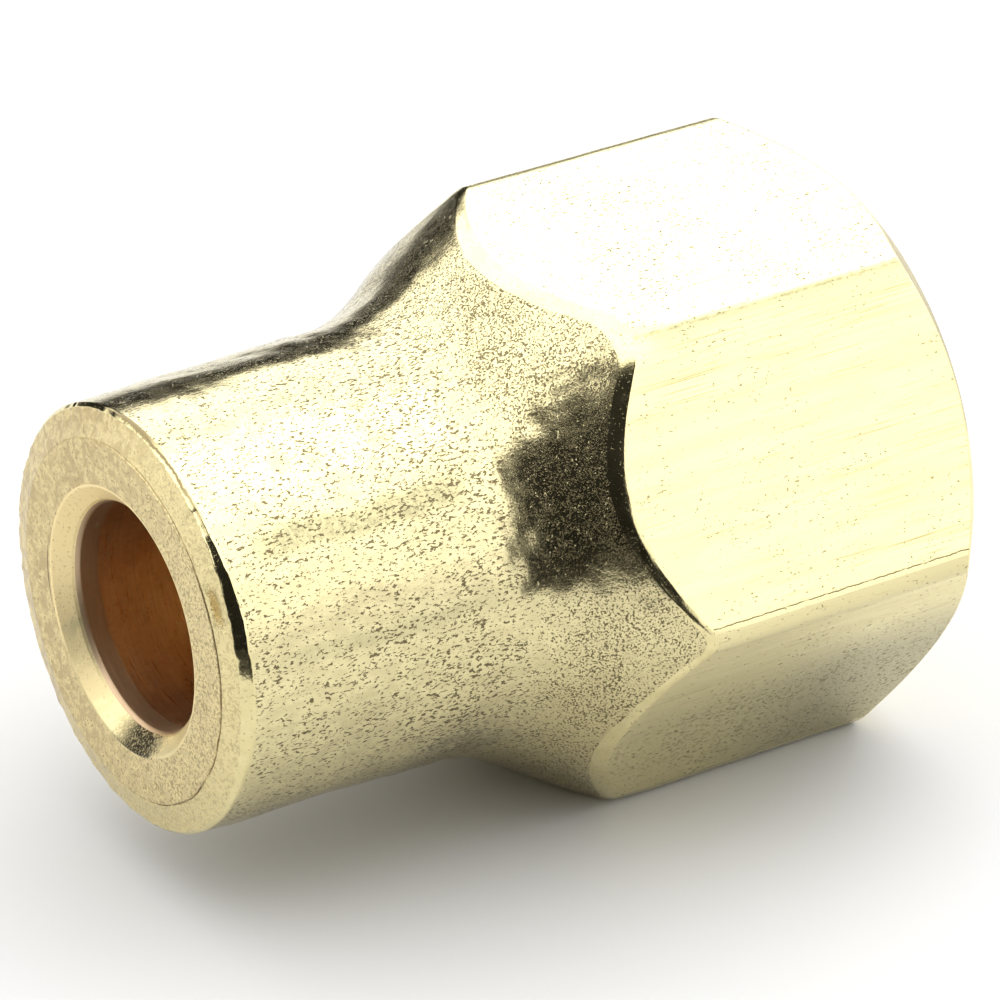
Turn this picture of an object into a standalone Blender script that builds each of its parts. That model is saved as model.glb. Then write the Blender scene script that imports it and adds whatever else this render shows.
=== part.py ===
"""Long forged flare nut, SAE 45 degree, for 1/4 in. tube.

One forged and machined brass body: a round drafted neck with the tube's
clearance bore, a concave shoulder, and a wrench hexagon holding the 7/16-20
UNF internal thread, a thread relief and the 45 degree seat for the flare.

The nut lies on one wrench flat. Its axis is along X, with the neck's end face
at -X and the threaded mouth at +X. The origin is under the middle of its
length, on the resting flat.
"""

import math

import bmesh
import bpy
from mathutils import Matrix

# Overall sizes, in metres.
ACROSS_FLATS = 0.015875
APOTHEM = ACROSS_FLATS / 2
LENGTH = 0.0235
CORNER_R = 0.00075

# Neck, from its end face.
END_FACE_R = 0.00528
END_CHAMFER_R = 0.00592
END_CHAMFER_X = 0.00028
NECK_R_AT_END = 0.00619
NECK_DRAFT = 0.0162
NECK_ROUND_X = 0.00080

# Concave shoulder.
FILLET_START_X = 0.00794
FILLET_R = 0.00560
SHOULDER_ANGLE = math.radians(33)
FILLET_STEPS = 5

# Chamfer round the threaded end.
MOUTH_FACE_R = 0.00772
MOUTH_CHAMFER_ANGLE = math.radians(40)
BLANK_R = 0.0096

# Inside, from the neck's end face.
BORE_R = 0.00330
LEAD_IN_R = 0.00387
LEAD_IN_DEPTH = 0.00050
SEAT_START_X = 0.01080
RELIEF_R = 0.00572
RELIEF_END_X = 0.01390
THREAD_MAJOR_R = 0.0111125 / 2
THREAD_MINOR_R = 0.00984 / 2
THREAD_PITCH = 0.0254 / 20
THREAD_ENTRY_R = 0.00585
CREST_FLAT = THREAD_PITCH / 4
ROOT_FLAT = THREAD_PITCH / 8

TURN_STEPS = 60
THREAD_STEPS = 30
PAST = 0.0010


def clear_scene():
    for obj in list(bpy.data.objects):
        bpy.data.objects.remove(obj, do_unlink=True)


def brass():
    material = bpy.data.materials.new("forged_brass")
    material.use_nodes = True
    shader = material.node_tree.nodes["Principled BSDF"]
    shader.inputs["Base Color"].default_value = (0.78, 0.68, 0.38, 1.0)
    shader.inputs["Metallic"].default_value = 1.0
    shader.inputs["Roughness"].default_value = 0.38
    return material


def add_object(name, bm, material=None):
    mesh = bpy.data.meshes.new(name)
    bm.to_mesh(mesh)
    bm.free()
    obj = bpy.data.objects.new(name, mesh)
    bpy.context.scene.collection.objects.link(obj)
    if material:
        mesh.materials.append(material)
    return obj


def profile_object(name, points, material=None):
    """A half section (radius, height) joined in order, from the top of the axis to its foot."""
    bm = bmesh.new()
    verts = [bm.verts.new((r, 0.0, z)) for r, z in points]
    for first, second in zip(verts, verts[1:]):
        bm.edges.new((first, second))
    return add_object(name, bm, material)


def turn(obj, steps):
    screw = obj.modifiers.new("turn", "SCREW")
    screw.axis = "Z"
    screw.angle = 2 * math.pi
    screw.steps = steps
    screw.render_steps = steps
    screw.screw_offset = 0.0
    screw.use_merge_vertices = True
    screw.merge_threshold = 0.00001
    return screw


def helper(obj):
    obj.hide_render = True
    obj.display_type = "WIRE"
    return obj


def boolean(obj, name, other, operation):
    modifier = obj.modifiers.new(name, "BOOLEAN")
    modifier.operation = operation
    modifier.object = other
    modifier.solver = "EXACT"
    return modifier


def outer_profile():
    """The turned blank before the hexagon is cut. Heights run from the neck's end face."""
    neck = lambda z: NECK_R_AT_END + NECK_DRAFT * z
    points = [(0.0, 0.0), (END_FACE_R, 0.0), (END_CHAMFER_R, END_CHAMFER_X)]
    for step in (1, 2):
        # Rounded shoulder between the end chamfer and the neck's side.
        share = step / 3
        z = END_CHAMFER_X + (NECK_ROUND_X - END_CHAMFER_X) * share
        r = END_CHAMFER_R + (neck(NECK_ROUND_X) - END_CHAMFER_R) * math.sin(
            share * math.pi / 2
        )
        points.append((r, z))
    points.append((neck(NECK_ROUND_X), NECK_ROUND_X))
    start = math.atan(NECK_DRAFT)
    root_r = neck(FILLET_START_X)
    for step in range(FILLET_STEPS + 1):
        angle = start + (SHOULDER_ANGLE - start) * step / FILLET_STEPS
        points.append(
            (
                root_r + FILLET_R * (math.cos(start) - math.cos(angle)),
                FILLET_START_X + FILLET_R * (math.sin(angle) - math.sin(start)),
            )
        )
    last_r, last_z = points[-1]
    points.append((BLANK_R, last_z + (BLANK_R - last_r) / math.tan(SHOULDER_ANGLE)))
    points.append(
        (BLANK_R, LENGTH - (BLANK_R - MOUTH_FACE_R) * math.tan(MOUTH_CHAMFER_ANGLE))
    )
    points += [(MOUTH_FACE_R, LENGTH), (0.0, LENGTH)]
    return points[::-1]


def inner_profile():
    """The bore, lead-in, flare seat, thread relief and thread core, as one turned cutter."""
    relief_start = SEAT_START_X + (THREAD_MINOR_R - BORE_R)
    lead_slope = (LEAD_IN_R - BORE_R) / LEAD_IN_DEPTH
    entry = THREAD_ENTRY_R - THREAD_MINOR_R
    points = [
        (0.0, -PAST),
        (LEAD_IN_R + PAST * lead_slope, -PAST),
        (BORE_R, LEAD_IN_DEPTH),
        (BORE_R, SEAT_START_X),
        (THREAD_MINOR_R, relief_start),
        (THREAD_MINOR_R, relief_start + 0.0003),
        (RELIEF_R, relief_start + 0.0003 + (RELIEF_R - THREAD_MINOR_R) * 0.4),
        (RELIEF_R, RELIEF_END_X),
        (THREAD_MINOR_R, RELIEF_END_X + (RELIEF_R - THREAD_MINOR_R)),
        (THREAD_MINOR_R, LENGTH - entry * 0.8),
        (THREAD_ENTRY_R, LENGTH),
        (THREAD_ENTRY_R, LENGTH + PAST),
        (0.0, LENGTH + PAST),
    ]
    return points[::-1]


def thread_cutter():
    """One tooth section swept along a helix, from inside the relief to past the mouth."""
    depth = THREAD_MAJOR_R - THREAD_MINOR_R
    inside = THREAD_MINOR_R - 0.00015
    half_root = ROOT_FLAT / 2
    slope = (THREAD_PITCH - CREST_FLAT - ROOT_FLAT) / 2 / depth
    half_base = half_root + slope * (THREAD_MAJOR_R - inside)
    start = RELIEF_END_X - 0.0004
    turns = math.ceil((LENGTH + PAST - start) / THREAD_PITCH)
    bm = bmesh.new()
    rings = []
    for step in range(turns * THREAD_STEPS + 1):
        angle = 2 * math.pi * (step + 0.3) / THREAD_STEPS
        z = start + THREAD_PITCH * step / THREAD_STEPS
        section = [
            (inside, z - half_base),
            (THREAD_MAJOR_R, z - half_root),
            (THREAD_MAJOR_R, z + half_root),
            (inside, z + half_base),
        ]
        rings.append(
            [
                bm.verts.new((r * math.cos(angle), r * math.sin(angle), h))
                for r, h in section
            ]
        )
    for first, second in zip(rings, rings[1:]):
        for i in range(len(first)):
            j = (i + 1) % len(first)
            bm.faces.new((first[i], second[i], second[j], first[j]))
    bm.faces.new(rings[0])
    bm.faces.new(rings[-1][::-1])
    bmesh.ops.recalc_face_normals(bm, faces=bm.faces)
    return helper(add_object("thread_cutter", bm))


def hexagon():
    """The wrench hexagon, longer than the nut at both ends, with its six long edges rounded."""
    bm = bmesh.new()
    bmesh.ops.create_cone(
        bm,
        cap_ends=True,
        segments=6,
        radius1=APOTHEM / math.cos(math.pi / 6),
        radius2=APOTHEM / math.cos(math.pi / 6),
        depth=LENGTH + 4 * PAST,
        matrix=Matrix.Translation((0, 0, LENGTH / 2))
        @ Matrix.Rotation(math.pi / 6, 4, "Z"),
    )
    if not any(abs(abs(v.co.x) - APOTHEM) < 1e-6 for v in bm.verts):
        bmesh.ops.rotate(bm, verts=bm.verts, matrix=Matrix.Rotation(math.pi / 6, 3, "Z"))
    long_edges = [
        e for e in bm.edges if abs(e.verts[0].co.z - e.verts[1].co.z) > LENGTH / 2
    ]
    bmesh.ops.bevel(
        bm,
        geom=long_edges,
        offset=CORNER_R * math.tan(math.pi / 6),
        offset_type="OFFSET",
        segments=3,
        profile=0.5,
        affect="EDGES",
        clamp_overlap=True,
    )
    bmesh.ops.recalc_face_normals(bm, faces=bm.faces)
    return helper(add_object("hexagon", bm))


def main():
    clear_scene()
    frame = bpy.data.objects.new("nut_axis", None)
    bpy.context.scene.collection.objects.link(frame)
    # Local +Z runs along the nut from the neck's end face. It points to world +X.
    frame.matrix_world = Matrix.Translation((-LENGTH / 2, 0, APOTHEM)) @ Matrix.Rotation(
        math.pi / 2, 4, "Y"
    )

    nut = profile_object("flare_nut", outer_profile(), brass())
    turn(nut, TURN_STEPS)
    hollow = helper(profile_object("hollow_cutter", inner_profile()))
    turn(hollow, TURN_STEPS)
    prism = hexagon()
    tap = thread_cutter()
    for obj in (nut, hollow, prism, tap):
        obj.parent = frame

    boolean(nut, "wrench_flats", prism, "INTERSECT")
    boolean(nut, "hollow", hollow, "DIFFERENCE")
    boolean(nut, "thread", tap, "DIFFERENCE")
    nut.data.shade_smooth()
    nut.data.set_sharp_from_angle(angle=math.radians(30))


main()
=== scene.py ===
"""Looks of the long forged flare nut: one brass piece, its surfaces and the studio round it."""

import math

import bmesh
import bpy
import numpy as np
from mathutils import Matrix, Vector


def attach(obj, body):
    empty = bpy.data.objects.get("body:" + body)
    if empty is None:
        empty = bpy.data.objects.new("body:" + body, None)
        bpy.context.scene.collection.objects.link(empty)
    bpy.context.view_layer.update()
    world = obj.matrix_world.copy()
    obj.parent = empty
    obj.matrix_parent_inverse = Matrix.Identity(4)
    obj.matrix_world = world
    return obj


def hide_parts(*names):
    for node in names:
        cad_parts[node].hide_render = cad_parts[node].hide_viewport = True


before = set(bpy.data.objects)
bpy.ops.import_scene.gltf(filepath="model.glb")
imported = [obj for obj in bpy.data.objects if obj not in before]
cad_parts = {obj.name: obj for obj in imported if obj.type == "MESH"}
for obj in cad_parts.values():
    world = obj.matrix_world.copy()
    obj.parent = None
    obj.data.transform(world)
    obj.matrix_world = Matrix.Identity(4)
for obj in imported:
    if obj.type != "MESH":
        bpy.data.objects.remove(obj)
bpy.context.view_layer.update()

# ---------------------------------------------------------------- sizes, in millimetres
APOTHEM = 15.875 / 2
LENGTH = 23.5
CORNER_R = 0.80
FLAT_EDGE = (APOTHEM - CORNER_R) * math.tan(math.pi / 6)
TRIM = 0.016
TRIMMED = (0, 2, 4)
FACET_IN = 0.13
FACET_OUT = 0.32
# Corner radii where the forged shoulder meets the hexagon. They fade into CORNER_R along the flats.
SHOULDER_CORNERS = (0.8, 2.3, 0.9, 1.1, 0.8, 1.2)
FADE = 1.1
NECK_R0 = 6.19
NECK_DRAFT = 0.0162
FILLET_START = 7.94
FILLET_R = 5.60
SHOULDER = math.radians(33)
MOUTH_FACE_R = 7.72
MOUTH_CHAMFER = math.radians(40)
BORE_R = 3.30
MAJOR_R = 11.1125 / 2
MINOR_R = 9.84 / 2
PITCH = 25.4 / 20
RELIEF_R = 5.72
ENTRY_R = 5.85

SECTOR_COLUMNS = 40

FORGED, FLAT, FACE, BORE, MOUTH, THREAD, RIM, SEAT = range(8)


# ---------------------------------------------------------------- smooth seeded noise
class Waves:
    """A sum of seeded sine waves over space: smooth, repeatable and free of any grid."""

    def __init__(self, seed, wavelength, count=28, spread=0.5):
        rng = np.random.default_rng(seed)
        direction = rng.normal(size=(count, 3))
        direction /= np.linalg.norm(direction, axis=1)[:, None]
        length = wavelength * np.exp(rng.uniform(-spread, spread, count))
        self.k = direction * (2 * np.pi / length)[:, None]
        self.phase = rng.uniform(0, 2 * np.pi, count)
        self.scale = math.sqrt(2.0 / count)

    def __call__(self, points):
        return np.sin(points @ self.k.T + self.phase).sum(axis=-1) * self.scale


# ---------------------------------------------------------------- outline
def corner_circle(k, radius):
    """Centre of the corner circle between flat k and the next one. Trimmed flats lie a little under the forged ones."""
    first, second = math.radians(30 + 60 * k), math.radians(90 + 60 * k)
    lift = [TRIM if i % 6 in TRIMMED else 0.0 for i in (k, k + 1)]
    normals = np.array([[math.cos(first), math.sin(first)], [math.cos(second), math.sin(second)]])
    return np.linalg.solve(normals, np.array([APOTHEM - radius + lift[0], APOTHEM - radius + lift[1]]))


def crease_angles():
    """Angles about the axis at which a trimmed flat meets its rounded corners, in degrees."""
    out = []
    for k in range(6):
        centre = corner_circle(k, CORNER_R)
        for flat, side in ((k, 1), (k + 1, -1)):
            if flat % 6 not in TRIMMED:
                continue
            a = math.radians(30 + 60 * flat)
            normal = np.array([math.cos(a), math.sin(a)])
            along = np.array([-math.sin(a), math.cos(a)])
            rise = APOTHEM - centre @ normal
            reach = centre @ along + side * math.sqrt(CORNER_R**2 - rise**2)
            out.append((30 + 60 * flat + math.degrees(math.atan2(reach, APOTHEM))) % 360)
    return out


def columns():
    """Angles about the axis, closer together at the rounded corners and at the creases."""
    out = []
    for sector in range(6):
        for i in range(SECTOR_COLUMNS):
            u = -1 + 2 * i / SECTOR_COLUMNS
            out.append(60 * sector + 30 + 30 * (u + 0.13 * math.sin(math.pi * u)))
    for angle in crease_angles():
        out = [a for a in out if abs((a - angle + 180) % 360 - 180) > 0.25]
        out += [angle - 0.07, angle, angle + 0.07]
    return np.radians(np.array(sorted(a % 360 for a in out)))


def hexagon_radius(theta, radii=(CORNER_R,) * 6):
    """Distance from the axis to the hexagon with rounded corners. Flats face 30, 90, 150 ... degrees."""
    degrees = np.degrees(theta)
    direction = np.stack([np.cos(theta), np.sin(theta)], axis=-1)
    out = APOTHEM / np.cos(np.radians(np.mod(degrees, 60) - 30))
    for k in range(6):
        centre = corner_circle(k, radii[k])
        first, second = (math.radians(30 + 60 * j) for j in (k, k + 1))
        on = direction @ centre
        inside = radii[k] ** 2 - (centre @ centre - on**2)
        hit = on + np.sqrt(np.maximum(inside, 0))
        point = direction * hit[:, None] - centre
        away = np.arctan2(point[:, 1], point[:, 0])
        middle = (first + second) / 2
        off = np.abs((away - middle + math.pi) % (2 * math.pi) - math.pi)
        near = np.abs((theta - middle + math.pi) % (2 * math.pi) - math.pi) < math.radians(30)
        use = near & (inside > 0) & (off <= math.radians(30))
        out = np.where(use, np.minimum(out, hit), out)
    return out


def neck_profile():
    """(s, r) of the turned blank from the neck to past the hexagon's corners."""
    start = math.atan(NECK_DRAFT)
    root = NECK_R0 + NECK_DRAFT * FILLET_START
    pts = [(0.0, NECK_R0), (FILLET_START, root)]
    for i in range(1, 25):
        a = start + (SHOULDER - start) * i / 24
        pts.append(
            (
                FILLET_START + FILLET_R * (math.sin(a) - math.sin(start)),
                root + FILLET_R * (math.cos(start) - math.cos(a)),
            )
        )
    s, r = pts[-1]
    pts.append((s + (11.0 - r) / math.tan(SHOULDER), 11.0))
    return np.array(pts)


PROFILE = neck_profile()


def turned_radius(s):
    return np.interp(s, PROFILE[:, 0], PROFILE[:, 1])


def turned_station(r):
    return np.interp(r, PROFILE[:, 1], PROFILE[:, 0])


def chamfer_radius(s):
    return MOUTH_FACE_R + (LENGTH - s) / math.tan(MOUTH_CHAMFER)


def ease(t):
    t = np.clip(t, 0, 1)
    return t * t * (3 - 2 * t)


def smooth_min(a, b, k):
    h = np.clip(0.5 + 0.5 * (b - a) / k, 0, 1)
    return b + (a - b) * h - k * h * (1 - h)


def rounded(points, default_steps=4):
    """A path of (s, r, radius) corners with each corner turned into an arc."""
    out = []
    for i, (s, r, radius) in enumerate(points):
        here = np.array([s, r])
        if i in (0, len(points) - 1) or radius <= 0:
            out.append(here)
            continue
        before = np.array(points[i - 1][:2]) - here
        after = np.array(points[i + 1][:2]) - here
        lb, la = np.linalg.norm(before), np.linalg.norm(after)
        before, after = before / lb, after / la
        half = 0.5 * math.acos(max(-1, min(1, float(before @ after))))
        reach = min(radius / math.tan(half), 0.48 * lb, 0.48 * la)
        radius = reach * math.tan(half)
        centre = here + (before + after) / np.linalg.norm(before + after) * (
            radius / math.sin(half)
        )
        first, last = here + before * reach, here + after * reach
        v0, v1 = first - centre, last - centre
        turn = math.atan2(v0[0] * v1[1] - v0[1] * v1[0], float(v0 @ v1))
        for j in range(default_steps + 1):
            a = turn * j / default_steps
            c, q = math.cos(a), math.sin(a)
            out.append(centre + np.array([c * v0[0] - q * v0[1], q * v0[0] + c * v0[1]]))
    return [tuple(p) for p in out]


def spaced(path, largest):
    """The same path with long spans split so that no step is over `largest`."""
    out = [path[0]]
    for a, b in zip(path, path[1:]):
        n = max(1, math.ceil(math.dist(a, b) / largest))
        for i in range(1, n + 1):
            out.append((a[0] + (b[0] - a[0]) * i / n, a[1] + (b[1] - a[1]) * i / n))
    return out


# ---------------------------------------------------------------- the nut's mesh
def nut_rows():
    """Rows of (s, r) arrays over the columns, and the surface that follows each row."""
    theta = columns()
    one = np.ones_like(theta)
    hexagon = hexagon_radius(theta)
    forged_hexagon = hexagon_radius(theta, SHOULDER_CORNERS)
    degrees = np.degrees(theta)
    ring = np.stack([0 * one, np.cos(theta), np.sin(theta)], axis=-1)
    rows, kinds = [], []

    def turned(path, kind):
        for s, r in path:
            rows.append((one * s, one * r))
            kinds.append(kind)

    # From deep in the bore out to the neck's side.
    turned(spaced(rounded([(3.2, BORE_R, 0), (0.62, BORE_R, 0.10), (0.50, 3.35, 0)]), 0.3), BORE)
    turned(spaced(rounded([(0.48, 3.37, 0), (0.40, 3.42, 0.10), (0.02, 3.86, 0.05), (0.0, 3.91, 0)], 4), 0.12), SEAT)
    turned(spaced(rounded([(0.0, 3.94, 0), (0.0, 5.20, 0)]), 0.13), FACE)
    turned([(0.006, 5.235), (0.034, 5.262), (0.030, 5.30)], FACE)
    # The chamfer ends in a bevel that is only a hair wide, but for one side where the edge was knocked down.
    wide = ease((degrees - 121) / 32) * ease((205 - degrees) / 25)
    ragged = 0.012 * WAVE_FINE(6.1 * ring) + 0.006 * WAVE_FINE(14.0 * ring)
    s1, r1 = 0.255 - 0.03 * wide + ragged, 6.10 - 0.115 * wide
    s2, r2 = 0.355 + 0.145 * wide + 0.7 * ragged, (NECK_R0 + 0.002) * one
    for t in (0.0, 0.15, 0.3, 0.45, 0.6, 0.75, 0.88, 0.97):
        rows.append((0.05 + (s1 - 0.05) * t, 5.35 + (r1 - 5.35) * t))
        kinds.append(FACE if t < 0.97 else RIM)
    for t in (0.05, 0.25, 0.5, 0.75, 0.95):
        rows.append((s1 + (s2 - s1) * t, r1 + (r2 - r1) * t))
        kinds.append(RIM)
    for t in (0.04, 0.15, 0.4, 0.7):
        rows.append((s2 + (1.0 - s2) * t, r2 + (NECK_R0 + NECK_DRAFT - r2) * t))
        kinds.append(RIM if t < 0.1 else FORGED)
    turned([(1.0, NECK_R0 + NECK_DRAFT)], FORGED)

    # The neck and the shoulder up to where the shoulder meets the hexagon.
    edge = turned_station(forged_hexagon)
    narrow = ease((degrees - 148) / 22) * ease((215 - degrees) / 20)
    outer = edge - FACET_OUT + 0.15 * narrow + 0.015 * WAVE_MID(8.0 * ring)
    inner = edge + FACET_IN + 0.010 * WAVE_MID(6.0 * ring)
    neck_steps, shoulder_steps = 42, 34
    for i in range(1, neck_steps + 1):
        s = 1.0 + (FILLET_START - 0.4 - 1.0) * i / neck_steps
        rows.append((one * s, turned_radius(s) * one))
        kinds.append(FORGED)
    for i in range(1, shoulder_steps + 1):
        s = (FILLET_START - 0.4) + (outer - 0.03 - (FILLET_START - 0.4)) * i / shoulder_steps
        rows.append((s, turned_radius(s)))
        kinds.append(FORGED if i < shoulder_steps else RIM)
    # The trimmed facet: a straight bevel from the shoulder to the flat, with small rolled edges.
    low_r = turned_radius(outer)
    for t in (0.05, 0.14, 0.3, 0.5, 0.7, 0.86, 0.95):
        rows.append((outer + (inner - outer) * t, low_r + (forged_hexagon - low_r) * t))
        kinds.append(RIM)
    # Along the flats and across the edge of the end chamfer.
    far = LENGTH - (hexagon - MOUTH_FACE_R) * math.tan(MOUTH_CHAMFER)
    lip = 0.07
    flat_steps = 34
    start, stop = inner + 0.03, far - lip
    stations = [start + (stop - start) * i / flat_steps for i in range(flat_steps + 1)]
    stations += [far + lip * t for t in (-0.5, 0.0, 0.5, 1.0)]
    for i, s in enumerate(stations):
        side = forged_hexagon + (hexagon - forged_hexagon) * ease((s - inner) / FADE)
        rows.append((s, smooth_min(side, chamfer_radius(s), 0.05)))
        kinds.append(FLAT if i < flat_steps + 1 else MOUTH)
    last_s, last_r = rows[-1]
    for i in range(1, 8):
        t = i / 8
        s = last_s + (LENGTH - 0.06 - last_s) * t
        rows.append((s, chamfer_radius(s)))
        kinds.append(MOUTH)
    # Round the mouth's end face and into the thread's entry.
    turned(
        spaced(rounded([(LENGTH - 0.05, MOUTH_FACE_R + 0.06, 0), (LENGTH, MOUTH_FACE_R, 0.12), (LENGTH, ENTRY_R, 0.06), (LENGTH - 0.20, ENTRY_R - 0.20, 0)], 4), 0.2),
        MOUTH,
    )
    # The thread: rows follow the helix, and are held between the entry and the relief.
    high, low = LENGTH - 0.20, 13.9
    share = [0.0, 0.05, 0.085, 0.16, 0.24, 0.32, 0.365, 0.41, 0.5, 0.59, 0.635, 0.68, 0.76, 0.84, 0.915, 0.95]
    levels = []
    turn = math.ceil((high - low) / PITCH) + 2
    for t in range(turn):
        levels += [high + PITCH * 0.2 - PITCH * (t + u) for u in share]
    per_turn = len(share)
    helix_start = len(rows)
    half_root = PITCH / 16
    half_crest = PITCH / 8
    for level in levels:
        s = level + PITCH * theta / (2 * math.pi)
        u = np.mod(level - high, PITCH) / PITCH
        away = abs(u - 0.0) if u < 0.5 else abs(1 - u)
        away *= PITCH
        flank = np.clip((away - half_root) / (PITCH / 2 - half_root - half_crest), 0, 1)
        flank = flank * flank * (3 - 2 * flank) * 0.25 + flank * 0.75
        r = (MAJOR_R + (MINOR_R - MAJOR_R) * flank) * one
        s_in = np.clip(s, low, high)
        entry = ENTRY_R - (LENGTH - s_in) * 1.0
        relief = RELIEF_R - np.maximum(s_in - low, 0)
        r = np.maximum(r, np.maximum(entry, relief))
        r = np.where(s >= high, ENTRY_R - 0.20, np.where(s <= low, RELIEF_R, r))
        rows.append((s_in, r))
        kinds.append(THREAD)
    helix_end = len(rows)
    # Relief, flare seat and bore.
    turned(spaced(rounded([(13.9, RELIEF_R, 0), (13.04, RELIEF_R, 0.3), (12.72, MINOR_R + 0.02, 0.05), (12.42, MINOR_R, 0.08), (10.8, BORE_R, 0.2), (9.6, BORE_R, 0)], 4), 0.3), THREAD)
    turned(spaced([(9.3, BORE_R), (3.5, BORE_R)], 0.7), BORE)
    return theta, rows, kinds, (helix_start, helix_end, per_turn)


def shape_noise(points, s, kind):
    """Outward movement of the skin, in millimetres, by kind of surface."""
    out = np.zeros(len(points))
    slow = WAVE_SLOW(points)
    mid = WAVE_MID(points)
    fine = WAVE_FINE(points)
    forged = (kind == FORGED) | (kind == RIM)
    fade = np.clip((s - 0.3) / 2.0, 0, 1)
    out += np.where(forged, fade * (0.020 * slow + 0.008 * mid) + 0.0022 * fine, 0)
    out += np.where(kind == FLAT, 0.0035 * slow + 0.0015 * mid, 0)
    return out


WAVE_SLOW = Waves(11, 4.2)
WAVE_MID = Waves(12, 1.3, 40)
WAVE_FINE = Waves(13, 0.42, 60)


def build_nut():
    theta, rows, kinds, (helix_start, helix_end, per_turn) = nut_rows()
    n, m = len(theta), len(rows)
    s = np.stack([row[0] for row in rows])
    r = np.stack([row[1] for row in rows])
    t = np.broadcast_to(theta, s.shape)
    kind = np.array(kinds)[:, None] * np.ones((1, n), int)
    flat = np.stack([s, r * np.cos(t), r * np.sin(t)], axis=-1).reshape(-1, 3)
    bump = shape_noise(flat, s.reshape(-1), kind.reshape(-1)).reshape(s.shape)
    # Fade the movement to nothing where two kinds of surface meet, so that edges stay true.
    joints = [i for i in range(m) if i in (0, m - 1) or kinds[i] != kinds[i - 1]]
    weight = np.array([min(1.0, min(abs(i - j) for j in joints) / 5) for i in range(m)])
    r = r + bump * weight[:, None]
    scale = 0.001
    x = (s - LENGTH / 2) * scale
    y = r * np.cos(t) * scale
    z = (r * np.sin(t) + APOTHEM) * scale
    verts = np.stack([x, y, z], axis=-1).reshape(-1, 3)

    faces, slots = [], []

    def at(i, j):
        return (i % m) * n + (j % n)

    for i in range(m):
        inside_helix = helix_start <= i < helix_end - 1
        for j in range(n):
            if inside_helix and j == n - 1:
                a, b = i, i + 1
                # One turn on, each row has risen by a pitch and meets the row above it.
                c, d = max(i + 1 - per_turn, helix_start), max(i - per_turn, helix_start)
                quad = (at(a, j), at(b, j), at(c, 0), at(d, 0))
            else:
                quad = (at(i, j), at(i + 1, j), at(i + 1, j + 1), at(i, j + 1))
            faces.append(quad)
            slots.append(kinds[i])
    mesh = bpy.data.meshes.new("flare_nut_body")
    mesh.from_pydata(verts.tolist(), [], faces)
    mesh.polygons.foreach_set("material_index", slots)
    bm = bmesh.new()
    bm.from_mesh(mesh)
    bmesh.ops.remove_doubles(bm, verts=bm.verts, dist=2e-7)
    bmesh.ops.dissolve_degenerate(bm, edges=bm.edges, dist=1e-7)
    bmesh.ops.recalc_face_normals(bm, faces=bm.faces)
    bm.to_mesh(mesh)
    bm.free()
    mesh.shade_smooth()
    mesh.set_sharp_from_angle(angle=math.radians(40))
    obj = bpy.data.objects.new("flare_nut_body", mesh)
    bpy.context.scene.collection.objects.link(obj)
    return obj


nut = build_nut()
# ---------------------------------------------------------------- node helpers
class Graph:
    """Short calls that add nodes to a tree and link them."""

    def __init__(self, tree):
        self.tree = tree
        self.links = tree.links

    def new(self, kind, **settings):
        node = self.tree.nodes.new(kind)
        for key, value in settings.items():
            setattr(node, key, value)
        return node

    def put(self, socket, value):
        if isinstance(value, bpy.types.NodeSocket):
            self.links.new(value, socket)
        elif value is not None:
            socket.default_value = value

    def math(self, operation, a, b=None, c=None, clamp=False):
        node = self.new("ShaderNodeMath", operation=operation, use_clamp=clamp)
        for socket, value in zip(node.inputs, (a, b, c)):
            self.put(socket, value)
        return node.outputs[0]

    def vector(self, operation, a, b=None, c=None):
        node = self.new("ShaderNodeVectorMath", operation=operation)
        for socket, value in zip(node.inputs, (a, b, c)):
            self.put(socket, value)
        return node.outputs["Value"] if operation in ("LENGTH", "DOT_PRODUCT", "DISTANCE") else node.outputs[0]

    def split(self, vector):
        node = self.new("ShaderNodeSeparateXYZ")
        self.put(node.inputs[0], vector)
        return node.outputs[:3]

    def join(self, x, y, z):
        node = self.new("ShaderNodeCombineXYZ")
        for socket, value in zip(node.inputs, (x, y, z)):
            self.put(socket, value)
        return node.outputs[0]

    def noise(self, vector, scale=1.0, detail=2.0, rough=0.5, distort=0.0):
        node = self.new("ShaderNodeTexNoise", noise_dimensions="3D")
        self.put(node.inputs["Vector"], vector)
        self.put(node.inputs["Scale"], scale)
        self.put(node.inputs["Detail"], detail)
        self.put(node.inputs["Roughness"], rough)
        self.put(node.inputs["Distortion"], distort)
        return node.outputs["Fac"]

    def voronoi(self, vector, scale=1.0, randomness=1.0, feature="F1"):
        node = self.new("ShaderNodeTexVoronoi", voronoi_dimensions="3D", feature=feature)
        self.put(node.inputs["Vector"], vector)
        self.put(node.inputs["Scale"], scale)
        self.put(node.inputs["Randomness"], randomness)
        return node.outputs["Distance"]

    def step(self, value, low, high, to_low=0.0, to_high=1.0):
        node = self.new("ShaderNodeMapRange", interpolation_type="SMOOTHSTEP")
        for socket, item in zip(node.inputs, (value, low, high, to_low, to_high)):
            self.put(socket, item)
        return node.outputs[0]

    def mix(self, share, a, b):
        node = self.new("ShaderNodeMix", data_type="RGBA")
        self.put(node.inputs["Factor"], share)
        self.put(node.inputs[6], a)
        self.put(node.inputs[7], b)
        return node.outputs[2]

    def bump(self, height, distance, strength=1.0, normal=None):
        node = self.new("ShaderNodeBump")
        self.put(node.inputs["Height"], height)
        self.put(node.inputs["Distance"], distance)
        self.put(node.inputs["Strength"], strength)
        if normal is not None:
            self.put(node.inputs["Normal"], normal)
        return node.outputs[0]


def rgb(r, g, b):
    return (r, g, b, 1.0)


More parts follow.
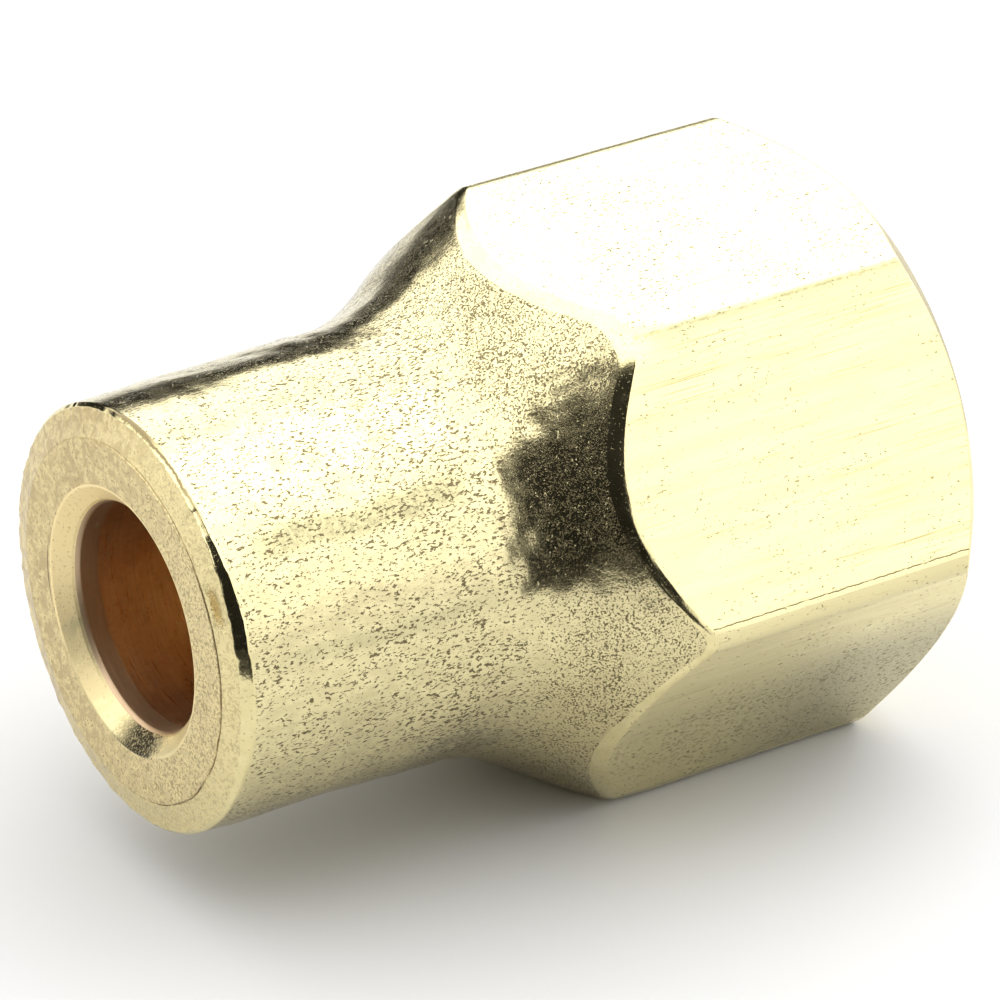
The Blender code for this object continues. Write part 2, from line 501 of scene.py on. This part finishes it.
def start_material(name):
    material = bpy.data.materials.new("brass_" + name)
    material.use_nodes = True
    graph = Graph(material.node_tree)
    shader = material.node_tree.nodes["Principled BSDF"]
    shader.inputs["Metallic"].default_value = 1.0
    coordinate = graph.new("ShaderNodeTexCoord").outputs["Object"]
    # Millimetres, from the neck's end face on the nut's own axis.
    place = graph.vector(
        "MULTIPLY_ADD", coordinate, (1000.0, 1000.0, 1000.0), (LENGTH / 2, 0.0, -APOTHEM)
    )
    return material, graph, shader, place


OXIDE = rgb(0.125, 0.098, 0.048)


def ring_coordinates(g, place):
    s, y, z = g.split(place)
    radius = g.math("SQRT", g.math("ADD", g.math("MULTIPLY", y, y), g.math("MULTIPLY", z, z)))
    angle = g.math("ARCTAN2", z, y)
    return s, radius, angle


def ridge(g, value, centre, half):
    """One at the centre, falling to nothing at half a width either side."""
    return g.step(g.math("ABSOLUTE", g.math("SUBTRACT", value, centre)), half, half * 0.25)


def scratches(g, place, turn, scale, low, high):
    """Thin straight scratches that all run one way; turn is the rotation of their direction."""
    mapping = g.new("ShaderNodeMapping", vector_type="TEXTURE")
    g.put(mapping.inputs["Vector"], place)
    mapping.inputs["Rotation"].default_value = turn
    mapping.inputs["Scale"].default_value = (14.0, 1.0, 1.0)
    return g.step(g.noise(mapping.outputs[0], scale, 2.0, 0.5), low, high)


def forged_material():
    """Shot-blasted forged skin: bright peened metal with fine dark pits drawn out along the nut."""
    material, g, shader, place = start_material("forged")
    s, radius, angle = ring_coordinates(g, place)
    _, y, z = g.split(place)
    along = g.join(g.math("MULTIPLY", s, 0.5), y, z)
    grain = g.noise(along, 14.5, 2.0, 0.6, 0.35)
    round_grain = g.noise(place, 16.5, 2.0, 0.6, 0.25)
    coarse = g.noise(along, 3.2, 2.0, 0.5)
    patch = g.noise(place, 0.5, 2.0, 0.5)
    # Pits run along the neck, turn round and crowd together on the shoulder.
    shoulder = g.step(s, 8.0, 11.0)
    cell = g.math("ADD", g.math("MULTIPLY", grain, g.math("SUBTRACT", 1.0, shoulder)), g.math("MULTIPLY", round_grain, shoulder))
    crowd = g.math("ADD", g.step(s, 2.0, 9.5, 0.0, 0.038), g.step(patch, 0.35, 0.65, -0.018, 0.018))
    crowd = g.math("MULTIPLY_ADD", g.math("MULTIPLY", g.step(s, 7.0, 10.5), g.step(z, 0.5, 4.0)), 0.030, crowd)
    crowd = g.math("MULTIPLY_ADD", g.step(coarse, 0.35, 0.65, -1.0, 1.0), 0.025, crowd)
    level = g.math("ADD", cell, crowd)
    pit = g.step(level, 0.575, 0.615)
    deep = g.step(level, 0.615, 0.665)
    # Two faint flow bands left by the forging run along the neck.
    wander = g.math("MULTIPLY_ADD", g.noise(g.join(g.math("MULTIPLY", s, 0.5), 0.0, 0.0), 1.0), 0.10, -0.05)
    turned = g.math("ADD", angle, wander)
    flow = g.math("MAXIMUM", ridge(g, turned, math.radians(136), 0.10), g.math("MULTIPLY", ridge(g, turned, math.radians(166), 0.06), 0.45))
    flow = g.math("MULTIPLY", flow, g.math("MULTIPLY", g.step(s, 0.9, 2.4), g.step(s, 9.0, 7.0)))
    ripple = g.noise(g.join(g.math("MULTIPLY", s, 1.0), g.math("MULTIPLY", y, 0.3), g.math("MULTIPLY", z, 0.3)), 7.0, 2.0, 0.5, 1.2)
    hair = g.math("MAXIMUM", scratches(g, place, (0.4, 0.9, 0.5), 9.0, 0.70, 0.735), scratches(g, place, (-0.5, -0.6, 1.0), 8.0, 0.70, 0.735))
    height = g.math("MULTIPLY_ADD", deep, -0.60, g.math("MULTIPLY", cell, 0.37))
    height = g.math("MULTIPLY_ADD", coarse, 0.6, height)
    height = g.math("MULTIPLY_ADD", g.math("MULTIPLY", ripple, flow), 0.7, height)
    height = g.math("MULTIPLY_ADD", hair, 0.45, height)
    clean = g.mix(g.step(coarse, 0.35, 0.65), rgb(0.655, 0.575, 0.32), rgb(0.745, 0.66, 0.37))
    clean = g.mix(g.math("MULTIPLY", flow, g.step(ripple, 0.35, 0.65, 0.6, 1.0)), clean, rgb(0.40, 0.365, 0.20))
    clean = g.mix(g.math("MULTIPLY", g.step(s, 9.2, 10.6), g.step(z, 1.0, -3.0, 0.0, 0.5)), clean, rgb(0.62, 0.53, 0.28))
    color = g.mix(g.math("MULTIPLY_ADD", deep, 0.18, g.math("MULTIPLY", pit, 0.77)), clean, OXIDE)
    g.put(shader.inputs["Base Color"], color)
    g.put(shader.inputs["Roughness"], g.math("MULTIPLY_ADD", pit, 0.03, g.step(coarse, 0.3, 0.7, 0.13, 0.17)))
    g.put(shader.inputs["Normal"], g.bump(height, 0.000012, 1.0))
    return material


def flat_material():
    """Trimmed wrench flats: fine axial drawing lines, sparse nicks, and a smooth rolled corner between two flats."""
    material, g, shader, place = start_material("flat")
    s, radius, angle = ring_coordinates(g, place)
    _, y, z = g.split(place)
    # Distance across the flat from its middle, whichever flat this is.
    local = g.math("SUBTRACT", g.math("WRAP", angle, math.pi / 3, 0.0), math.pi / 6)
    across = g.math("MULTIPLY", radius, g.math("SINE", local))
    corner = g.step(g.math("ABSOLUTE", across), FLAT_EDGE - 0.12, FLAT_EDGE + 0.02)
    below = g.step(z, -1.0, -4.2)
    top = g.step(z, 7.70, 7.84)
    near_end = g.math("MULTIPLY", g.step(s, 12.5, 16.0), g.step(g.noise(place, 0.35, 2.0, 0.5), 0.34, 0.62))
    lines = g.noise(g.join(g.math("MULTIPLY", s, 0.07), y, z), 13.0, 3.0, 0.6)
    wide = g.noise(g.join(g.math("MULTIPLY", s, 0.12), y, z), 2.2, 2.0, 0.5)
    dash = g.noise(g.join(g.math("MULTIPLY", s, 0.58), y, z), 13.0, 2.0, 0.55, 0.3)
    grain = g.noise(place, 16.0, 2.0, 0.6, 0.2)
    patch = g.noise(place, 0.55, 2.0, 0.55)
    crowd = g.math("MULTIPLY_ADD", g.math("MULTIPLY", below, near_end), 0.055, g.step(patch, 0.35, 0.65, -0.03, 0.03))
    crowd = g.math("MULTIPLY_ADD", below, 0.042, crowd)
    crowd = g.math("MULTIPLY_ADD", top, 0.024, crowd)
    nick = g.step(g.math("ADD", dash, crowd), 0.655, 0.71)
    rough_patch = g.math("MULTIPLY", g.math("MULTIPLY", below, g.step(s, 16.0, 20.0)), g.math("SUBTRACT", 1.0, corner))
    scratch = g.step(g.noise(g.join(g.math("MULTIPLY", s, 0.03), y, z), 15.0, 2.0, 0.5), 0.665, 0.70)
    # A broken burr line where a flat's trimmed edge meets the rolled corner below it.
    jitter = g.math("MULTIPLY_ADD", g.noise(g.join(g.math("MULTIPLY", s, 1.0), 0.0, 0.0), 2.6, 3.0, 0.6), 0.12, -0.06)
    edge = g.math("ABSOLUTE", g.math("SUBTRACT", g.math("ADD", across, jitter), FLAT_EDGE))
    burr = g.math("MULTIPLY", g.step(edge, 0.028, 0.010), g.step(g.noise(place, 2.6, 3.0, 0.6), 0.32, 0.50, 0.30, 1.0))
    # A faint ragged painted shade along the upper edge of the near flat, drawn like the burr line.
    upper = g.math("ABSOLUTE", g.math("ADD", g.math("MULTIPLY_ADD", jitter, 1.6, across), FLAT_EDGE + 0.15))
    upper = g.math("MULTIPLY", g.step(upper, 0.085, 0.02), g.math("MULTIPLY", g.step(z, 7.0, 7.3), g.step(y, -3.0, -3.6)))
    upper = g.math("MULTIPLY", upper, g.step(g.noise(place, 3.5, 3.0, 0.6), 0.35, 0.60, 0.25, 1.0))
    clean = g.mix(g.step(wide, 0.3, 0.7), rgb(0.83, 0.725, 0.38), rgb(0.90, 0.795, 0.425))
    # Painted shade: the flats below the axis get a darker base colour.
    clean = g.mix(g.math("MULTIPLY", below, 0.55), clean, rgb(0.60, 0.545, 0.31))
    clean = g.mix(g.math("MULTIPLY", g.math("MULTIPLY", g.step(lines, 0.55, 0.68), g.math("SUBTRACT", 1.0, corner)), 0.14), clean, rgb(0.62, 0.52, 0.26))
    # Fine drawn lines: a close pattern that hardly changes along the nut.
    drawn = g.step(g.noise(g.join(g.math("MULTIPLY", s, 0.006), y, z), 19.0, 1.0, 0.5), 0.60, 0.67)
    band = g.step(g.noise(g.join(g.math("MULTIPLY", s, 0.05), y, z), 0.9, 1.0, 0.5), 0.44, 0.60)
    band = g.math("MULTIPLY", band, g.step(g.noise(g.join(g.math("MULTIPLY", s, 0.4), y, z), 1.3, 2.0, 0.5), 0.36, 0.58))
    band = g.math("MULTIPLY", band, g.math("MULTIPLY_ADD", g.math("MAXIMUM", top, below), -0.8, 1.0))
    clean = g.mix(g.math("MULTIPLY", g.math("MULTIPLY", drawn, band), 0.68), clean, rgb(0.42, 0.345, 0.15))
    clean = g.mix(g.math("MULTIPLY", g.math("MULTIPLY", corner, 0.75), g.math("SUBTRACT", 1.0, top)), clean, rgb(0.70, 0.62, 0.345))
    clean = g.mix(g.math("MULTIPLY", rough_patch, 0.75), clean, rgb(0.46, 0.425, 0.28))
    # Painted light: the top flat gets a lighter base colour.
    clean = g.mix(g.math("MULTIPLY", top, 0.7), clean, rgb(0.92, 0.84, 0.50))
    clean = g.mix(g.math("MULTIPLY", scratch, 0.5), clean, rgb(0.42, 0.34, 0.15))
    burr = g.math("MULTIPLY", burr, g.math("SUBTRACT", 1.0, top))
    # Painted shade along the near flat's upper edge.
    clean = g.mix(g.math("MULTIPLY", upper, 0.7), clean, rgb(0.36, 0.35, 0.17))
    mark = g.math("MAXIMUM", g.math("MULTIPLY", nick, g.math("MULTIPLY_ADD", top, 0.26, 0.66)), g.math("MULTIPLY", burr, 0.88))
    mark = g.math("MAXIMUM", mark, g.math("MULTIPLY", g.math("MULTIPLY", g.step(grain, 0.56, 0.64), rough_patch), 0.38))
    g.put(shader.inputs["Base Color"], g.mix(mark, clean, rgb(0.13, 0.10, 0.04)))
    rough = g.math("MULTIPLY_ADD", lines, 0.10, 0.14)
    rough = g.math("MULTIPLY_ADD", rough_patch, 0.12, rough)
    g.put(shader.inputs["Roughness"], g.math("MULTIPLY_ADD", nick, 0.15, rough))
    # A thin film of tarnish, so that a flat still looks like brass where it mirrors something dark.
    g.put(shader.inputs["Metallic"], g.math("MULTIPLY_ADD", below, 0.14, 0.86))
    height = g.math("MULTIPLY_ADD", lines, 0.35, g.math("MULTIPLY", nick, -0.8))
    height = g.math("MULTIPLY_ADD", scratch, -0.4, height)
    height = g.math("MULTIPLY_ADD", wide, 0.9, height)
    height = g.math("MULTIPLY_ADD", burr, -1.6, height)
    height = g.math("MULTIPLY_ADD", g.math("MULTIPLY", grain, g.math("MULTIPLY_ADD", rough_patch, 1.6, 0.12)), 1.0, height)
    g.put(shader.inputs["Normal"], g.bump(height, 0.000007, 1.0))
    return material


def rim_material():
    """Rolled edges and trimmed facets: smooth metal with a few nicks and short scuffs."""
    material, g, shader, place = start_material("rim")
    s, radius, angle = ring_coordinates(g, place)
    soft = g.noise(place, 1.4, 3.0, 0.55)
    grain = g.noise(place, 12.0, 2.0, 0.55, 0.3)
    nick = g.step(g.math("MULTIPLY_ADD", soft, 0.12, grain), 0.70, 0.76)
    gouge = g.step(g.noise(g.join(g.math("MULTIPLY", s, 0.6), g.math("MULTIPLY", angle, 1.2), radius), 4.0, 3.0, 0.6), 0.66, 0.74)
    clean = g.mix(g.step(soft, 0.35, 0.65), rgb(0.72, 0.63, 0.33), rgb(0.80, 0.70, 0.38))
    # A broken dark line follows the neck's rim over its upper side.
    drift = g.math("MULTIPLY_ADD", g.noise(place, 3.0, 3.0, 0.6), 0.16, -0.08)
    over = ridge(g, angle, math.radians(98), 0.75)
    line = g.math("MULTIPLY", ridge(g, g.math("ADD", s, drift), 0.33, 0.06), g.math("MULTIPLY", over, g.step(g.noise(place, 1.3, 3.0, 0.65), 0.34, 0.48, 0.25, 1.0)))
    thick = g.math("MULTIPLY", ridge(g, g.math("MULTIPLY_ADD", grain, 0.15, s), 0.44, 0.16), ridge(g, angle, math.radians(88), 0.34))
    line = g.math("MAXIMUM", line, thick)
    mark = g.math("MAXIMUM", g.math("MULTIPLY", nick, 0.6), g.math("MULTIPLY", gouge, 0.4))
    mark = g.math("MAXIMUM", mark, g.math("MULTIPLY", line, 0.88))
    g.put(shader.inputs["Base Color"], g.mix(mark, clean, rgb(0.13, 0.095, 0.045)))
    g.put(shader.inputs["Roughness"], g.step(soft, 0.3, 0.7, 0.11, 0.15))
    height = g.math("MULTIPLY_ADD", nick, -0.22, g.math("MULTIPLY", grain, 0.3))
    height = g.math("MULTIPLY_ADD", gouge, -0.4, height)
    height = g.math("MULTIPLY_ADD", soft, 1.0, height)
    g.put(shader.inputs["Normal"], g.bump(height, 0.000007, 1.0))
    return material


def face_material():
    """The neck's cut end face and its chamfer: matt, mottled, with ragged brown marks thicker on one side."""
    material, g, shader, place = start_material("face")
    s, radius, angle = ring_coordinates(g, place)
    _, y, z = g.split(place)
    mottle = g.noise(place, 2.7, 4.0, 0.62, 0.6)
    speck = g.noise(place, 10.0, 3.0, 0.6, 0.5)
    rings = g.noise(g.join(g.math("MULTIPLY", angle, 1.6), g.math("MULTIPLY", radius, 1.0), 0.0), 7.0, 3.0, 0.6)
    side = g.step(g.math("MULTIPLY_ADD", y, -1.0, g.math("MULTIPLY", z, -0.15)), -3.0, 3.5)
    chamfer = g.step(radius, 5.27, 5.32)
    pit = g.step(g.math("MULTIPLY_ADD", side, 0.05, g.math("MULTIPLY_ADD", mottle, 0.30, speck)), 0.735, 0.80)
    pit = g.math("MULTIPLY", pit, g.math("MULTIPLY_ADD", chamfer, -0.4, 1.0))
    # The cut face ends in a thin broken line just inside the chamfer, and a hair crack follows the countersink.
    drift = g.math("MULTIPLY_ADD", g.noise(place, 0.8, 3.0, 0.6), 0.16, -0.08)
    line = g.math("MULTIPLY", ridge(g, g.math("ADD", radius, drift), 5.265, 0.030), g.step(g.noise(place, 1.5, 3.0, 0.6), 0.38, 0.52, 0.25, 1.0))
    line = g.math("MULTIPLY", line, g.math("MULTIPLY_ADD", side, 0.85, 0.15))
    crack = g.math("MULTIPLY", ridge(g, g.math("ADD", radius, g.math("MULTIPLY", drift, 1.5)), 4.05, 0.042), ridge(g, angle, math.radians(-7), 0.34))
    gouge = g.math("MULTIPLY", ridge(g, g.math("MULTIPLY_ADD", speck, 0.3, radius), 5.74, 0.24), ridge(g, g.math("MULTIPLY_ADD", speck, 0.1, angle), math.radians(150), 0.13))
    base = g.mix(g.step(mottle, 0.38, 0.62), rgb(0.50, 0.385, 0.19), rgb(0.73, 0.61, 0.325))
    base = g.mix(g.math("MULTIPLY", g.step(rings, 0.55, 0.68), 0.25), base, rgb(0.47, 0.36, 0.19))
    base = g.mix(g.math("MULTIPLY", side, 0.50), base, rgb(0.84, 0.72, 0.39))
    base = g.mix(g.math("MULTIPLY", chamfer, g.math("MULTIPLY", side, 0.75)), base, rgb(0.80, 0.69, 0.365))
    # Short ragged strokes, close together on the side nearer the floor's edge.
    stroke = g.step(g.math("MULTIPLY_ADD", side, 0.05, g.noise(place, 5.5, 3.0, 0.62, 1.4)), 0.60, 0.66)
    stroke = g.math("MULTIPLY", stroke, g.math("MULTIPLY_ADD", chamfer, -0.6, 1.0))
    mark = g.math("MAXIMUM", g.math("MULTIPLY", pit, 0.5), g.math("MULTIPLY", stroke, g.math("MULTIPLY_ADD", side, 0.26, 0.28)))
    mark = g.math("MAXIMUM", mark, g.math("MULTIPLY", g.math("MAXIMUM", line, crack), 0.88))
    base = g.mix(g.math("MULTIPLY", gouge, 0.85), base, rgb(0.46, 0.31, 0.09))
    g.put(shader.inputs["Base Color"], g.mix(mark, base, rgb(0.16, 0.10, 0.04)))
    dull = g.step(mottle, 0.3, 0.7, 0.34, 0.50)
    g.put(shader.inputs["Roughness"], g.math("MULTIPLY_ADD", chamfer, -0.08, dull))
    height = g.math("MULTIPLY_ADD", rings, 0.4, g.math("MULTIPLY", speck, 0.8))
    height = g.math("MULTIPLY_ADD", mottle, 3.0, height)
    height = g.math("MULTIPLY_ADD", g.math("MAXIMUM", pit, g.math("MULTIPLY", stroke, 0.6)), -0.6, height)
    height = g.math("MULTIPLY_ADD", g.math("MAXIMUM", line, crack), -1.2, height)
    height = g.math("MULTIPLY_ADD", gouge, -5.0, height)
    g.put(shader.inputs["Normal"], g.bump(height, 0.000013, 1.0))
    return material


def seat_material():
    """The countersink at the tube's way in: turned smooth, dulled in patches."""
    material, g, shader, place = start_material("lead_in")
    s, radius, angle = ring_coordinates(g, place)
    soft = g.noise(place, 1.3, 3.0, 0.6, 0.4)
    grain = g.noise(place, 13.0, 2.0, 0.6)
    dull = g.step(g.math("MULTIPLY_ADD", g.math("COSINE", g.math("SUBTRACT", angle, math.radians(70))), 0.30, soft), 0.22, 0.42)
    # A patch of dark smut low down, mottled at its edges, beside a smooth stretch of painted olive shade.
    smut = g.math("MULTIPLY", ridge(g, g.math("MULTIPLY_ADD", grain, 0.5, angle), math.radians(-87), 0.40), g.step(grain, 0.36, 0.54, 0.62, 1.0))
    shade = g.math("MULTIPLY", ridge(g, angle, math.radians(-55), 0.60), g.step(soft, 0.35, 0.55, 0.5, 1.0))
    rings = g.noise(g.join(radius, g.math("MULTIPLY", g.math("COSINE", angle), 0.3), g.math("MULTIPLY", g.math("SINE", angle), 0.3)), 9.0, 3.0, 0.6)
    base = g.mix(dull, rgb(0.74, 0.63, 0.34), rgb(0.87, 0.715, 0.385))
    base = g.mix(g.math("MULTIPLY", shade, 0.45), base, rgb(0.30, 0.26, 0.14))
    base = g.mix(smut, base, rgb(0.022, 0.018, 0.010))
    base = g.mix(g.math("MULTIPLY", g.step(grain, 0.60, 0.70), 0.45), base, rgb(0.26, 0.17, 0.08))
    g.put(shader.inputs["Base Color"], base)
    g.put(shader.inputs["Roughness"], g.math("MULTIPLY_ADD", dull, 0.06, 0.40))
    height = g.math("MULTIPLY_ADD", rings, 0.6, g.math("MULTIPLY", grain, 0.8))
    g.put(shader.inputs["Normal"], g.bump(height, 0.000008, 1.0))
    return material


def bore_material():
    """The drilled bore: a redder brass colour than the rest, with fine turning lines round it and a duller first
    stretch.
    """
    material, g, shader, place = start_material("bore")
    s, radius, angle = ring_coordinates(g, place)
    round_space = g.join(s, g.math("MULTIPLY", g.math("COSINE", angle), 0.12), g.math("MULTIPLY", g.math("SINE", angle), 0.12))
    lines = g.noise(round_space, 13.0, 3.0, 0.6)
    weave = g.noise(g.join(g.math("MULTIPLY", s, 0.5), g.math("MULTIPLY", angle, 3.3), 0.0), 8.0, 2.0, 0.6)
    soft = g.noise(place, 0.9, 3.0, 0.55)
    spot = g.step(g.noise(place, 3.5, 1.0, 0.5), 0.72, 0.78)
    mouth = g.step(g.math("MULTIPLY_ADD", soft, 0.12, s), 1.32, 1.18)
    tint = g.mix(g.step(soft, 0.3, 0.7), rgb(0.79, 0.51, 0.28), rgb(0.90, 0.615, 0.355))
    tint = g.mix(mouth, tint, rgb(0.50, 0.37, 0.24))
    tint = g.mix(g.math("MULTIPLY", g.step(lines, 0.45, 0.7), 0.28), tint, rgb(0.48, 0.27, 0.13))
    tint = g.mix(g.math("MULTIPLY", g.step(weave, 0.5, 0.7), 0.22), tint, rgb(0.50, 0.29, 0.14))
    tint = g.mix(g.math("MULTIPLY", spot, 0.4), tint, rgb(0.60, 0.62, 0.45))
    g.put(shader.inputs["Base Color"], tint)
    g.put(shader.inputs["Roughness"], g.math("MULTIPLY_ADD", mouth, 0.12, g.step(lines, 0.3, 0.7, 0.26, 0.38)))
    g.put(shader.inputs["Normal"], g.bump(g.math("ADD", lines, g.math("MULTIPLY", weave, 0.5)), 0.0000022, 1.0))
    return material


def turned_material(name, light, dark, lines_scale, rough):
    """Turned faces: close concentric tool lines with slight drift and a few nicks."""
    material, g, shader, place = start_material(name)
    s, radius, angle = ring_coordinates(g, place)
    across = g.math("ADD", radius, g.math("MULTIPLY", s, 0.7))
    rings = g.noise(g.join(across, g.math("MULTIPLY", g.math("COSINE", angle), 0.3), g.math("MULTIPLY", g.math("SINE", angle), 0.3)), lines_scale, 3.0, 0.6)
    soft = g.noise(place, 0.8, 3.0, 0.55)
    nick = g.step(g.noise(place, 12.0, 2.0, 0.5), 0.67, 0.73)
    base = g.mix(g.step(soft, 0.3, 0.7), dark, light)
    base = g.mix(g.math("MULTIPLY", g.step(rings, 0.52, 0.7), 0.3), base, rgb(0.58, 0.47, 0.23))
    g.put(shader.inputs["Base Color"], g.mix(g.math("MULTIPLY", nick, 0.5), base, rgb(0.24, 0.17, 0.08)))
    g.put(shader.inputs["Roughness"], g.math("MULTIPLY_ADD", rings, 0.14, rough - 0.07))
    height = g.math("MULTIPLY_ADD", nick, -0.6, g.math("MULTIPLY", rings, 0.8))
    g.put(shader.inputs["Normal"], g.bump(height, 0.000006, 1.0))
    return material


# In the order of the kinds above.
for material in (
    forged_material(),
    flat_material(),
    face_material(),
    bore_material(),
    turned_material("mouth", rgb(0.88, 0.775, 0.41), rgb(0.80, 0.69, 0.35), 9.0, 0.27),
    turned_material("thread", rgb(0.86, 0.755, 0.39), rgb(0.77, 0.655, 0.32), 10.0, 0.24),
    rim_material(),
    seat_material(),
):
    nut.data.materials.append(material)

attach(nut, "root")
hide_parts("flare_nut")

# ---------------------------------------------------------------- floor, light and camera
def floor():
    bm = bmesh.new()
    bmesh.ops.create_circle(bm, cap_ends=True, segments=96, radius=0.6)
    mesh = bpy.data.meshes.new("floor")
    bm.to_mesh(mesh)
    bm.free()
    obj = bpy.data.objects.new("floor", mesh)
    bpy.context.scene.collection.objects.link(obj)
    obj.location.z = -0.00002
    mat = bpy.data.materials.new("pale_floor")
    mat.use_nodes = True
    bsdf = mat.node_tree.nodes["Principled BSDF"]
    bsdf.inputs["Base Color"].default_value = (0.58, 0.58, 0.58, 1)
    bsdf.inputs["Roughness"].default_value = 0.7
    mesh.materials.append(mat)
    return obj


floor()


def screen(name, start, stop, radius, height):
    """A low black card round part of the table's edge. It only darkens reflections just under the horizon."""
    bm = bmesh.new()
    steps = 24
    pairs = []
    for i in range(steps + 1):
        a = math.radians(start + (stop - start) * i / steps)
        x, y = radius * math.sin(a), -radius * math.cos(a)
        pairs.append((bm.verts.new((x, y, 0.0)), bm.verts.new((x, y, height))))
    for (a, b), (c, d) in zip(pairs, pairs[1:]):
        bm.faces.new((a, c, d, b))
    mesh = bpy.data.meshes.new(name)
    bm.to_mesh(mesh)
    bm.free()
    obj = bpy.data.objects.new(name, mesh)
    bpy.context.scene.collection.objects.link(obj)
    mat = bpy.data.materials.new(name + "_black")
    mat.use_nodes = True
    bsdf = mat.node_tree.nodes["Principled BSDF"]
    bsdf.inputs["Base Color"].default_value = (0.008, 0.008, 0.008, 1)
    bsdf.inputs["Roughness"].default_value = 0.9
    mesh.materials.append(mat)
    obj.visible_camera = False
    obj.visible_diffuse = False
    obj.visible_shadow = False


screen("front_card", -103, -1, 0.060, 0.012)


def grey_card():
    """A grey card flat on the table behind the mouth. Only reflections see it."""
    bm = bmesh.new()
    bmesh.ops.create_circle(bm, cap_ends=True, segments=48, radius=0.018)
    mesh = bpy.data.meshes.new("grey_card")
    bm.to_mesh(mesh)
    bm.free()
    obj = bpy.data.objects.new("grey_card", mesh)
    bpy.context.scene.collection.objects.link(obj)
    obj.location = (0.036, 0.022, 0.0003)
    mat = bpy.data.materials.new("grey_card")
    mat.use_nodes = True
    bsdf = mat.node_tree.nodes["Principled BSDF"]
    bsdf.inputs["Base Color"].default_value = (0.27, 0.27, 0.29, 1)
    bsdf.inputs["Roughness"].default_value = 0.9
    mesh.materials.append(mat)
    obj.visible_camera = False
    obj.visible_diffuse = False
    obj.visible_shadow = False


grey_card()


def back_card():
    """A black ring sector flat on the far side of the table. Only reflections see it."""
    bm = bmesh.new()
    pairs = []
    for i in range(25):
        a = math.radians(134 + 78 * i / 24)
        pairs.append([bm.verts.new((r * math.sin(a), -r * math.cos(a), 0.0003)) for r in (0.115, 0.55)])
    for (a, b), (c, d) in zip(pairs, pairs[1:]):
        bm.faces.new((a, c, d, b))
    mesh = bpy.data.meshes.new("back_card")
    bm.to_mesh(mesh)
    bm.free()
    obj = bpy.data.objects.new("back_card", mesh)
    bpy.context.scene.collection.objects.link(obj)
    mesh.materials.append(bpy.data.materials["front_card_black"])
    obj.visible_camera = False
    obj.visible_diffuse = False
    obj.visible_shadow = False


back_card()


def studio():
    """A light tent: white overhead and behind, a pale floor's glow low down, and a dark opening on the camera's side."""
    world = bpy.data.worlds.new("studio")
    bpy.context.scene.world = world
    world.use_nodes = True
    g = Graph(world.node_tree)
    background = world.node_tree.nodes["Background"]
    direction = g.new("ShaderNodeTexCoord").outputs["Generated"]
    x, y, z = g.split(direction)
    degrees = 180 / math.pi
    azimuth = g.math("MULTIPLY", g.math("ARCTAN2", x, g.math("MULTIPLY", y, -1.0)), degrees)
    height = g.math("MULTIPLY", g.math("ARCSINE", z), degrees)

    def window(value, low, high, soft):
        rise = g.step(value, low - soft, low + soft)
        fall = g.step(value, high - soft, high + soft, 1.0, 0.0)
        return g.math("MULTIPLY", rise, fall)

    def panel(az0, az1, el0, el1, soft_az, soft_el):
        return g.math("MULTIPLY", window(azimuth, az0, az1, soft_az), window(height, el0, el1, soft_el))

    light = g.step(height, -5.0, 65.0, 1.2, 2.35)
    # The side behind the object carries the strongest panel, and the left one is nearly as strong.
    light = g.math("MAXIMUM", light, g.math("MULTIPLY", panel(52, 141, 10, 70, 14, 8), 3.1))
    light = g.math("MAXIMUM", light, g.math("MULTIPLY", g.math("MAXIMUM", panel(135, 200, 18, 70, 12, 4), panel(-200, -152, 18, 70, 12, 4)), 2.5))
    light = g.math("MAXIMUM", light, g.math("MULTIPLY", panel(-160, -84, 2, 62, 10, 8), 2.3))
    light = g.math("MAXIMUM", light, g.math("MULTIPLY", panel(0, 60, 8, 60, 12, 8), 1.75))
    # A dark strip just over the table's far edge, and the opening where the camera looks in.
    strip = g.math("MAXIMUM", panel(135, 200, -9, 16.5, 6, 2.5), panel(-200, -150, -9, 16.5, 6, 2.5))
    opening = g.math("MAXIMUM", panel(-78, 0, -30, 58, 3, 3), panel(-103, 0, -30, 7, 4, 3))
    dark = g.math("MAXIMUM", g.math("MULTIPLY", strip, 0.985), g.math("MULTIPLY", opening, 0.988))
    light = g.math("MULTIPLY", light, g.math("SUBTRACT", 1.0, dark))
    seen = g.new("ShaderNodeLightPath").outputs["Is Camera Ray"]
    color = g.mix(seen, g.join(light, light, light), rgb(0.93, 0.93, 0.93))
    g.put(background.inputs["Color"], color)
    background.inputs["Strength"].default_value = 1.0


studio()

camera_data = bpy.data.cameras.new("camera")
camera = bpy.data.objects.new("camera", camera_data)
bpy.context.scene.collection.objects.link(camera)
CAM_APOTHEMS = Vector((-11.2271, -18.6164, 13.7659))
AZ, EL, ROLL = math.radians(-34.507), math.radians(31.302), math.radians(2.718)
back = Vector((math.sin(AZ) * math.cos(EL), -math.cos(AZ) * math.cos(EL), math.sin(EL)))
side = Vector((0, 0, 1)).cross(back).normalized()
up = back.cross(side)
right = side * math.cos(ROLL) + up * math.sin(ROLL)
top = up * math.cos(ROLL) - side * math.sin(ROLL)
place = CAM_APOTHEMS * (APOTHEM * 0.001) + Vector((-LENGTH / 2 * 0.001, 0, APOTHEM * 0.001))
camera.matrix_world = Matrix(
    (
        (right.x, top.x, back.x, place.x),
        (right.y, top.y, back.y, place.y),
        (right.z, top.z, back.z, place.z),
        (0, 0, 0, 1),
    )
)
camera_data.sensor_width = 36
camera_data.lens = 7390.86 / 1000 * 36
camera_data.clip_start = 0.01
camera_data.clip_end = 10
bpy.context.scene.camera = camera
bpy.context.scene.view_settings.view_transform = "Standard"
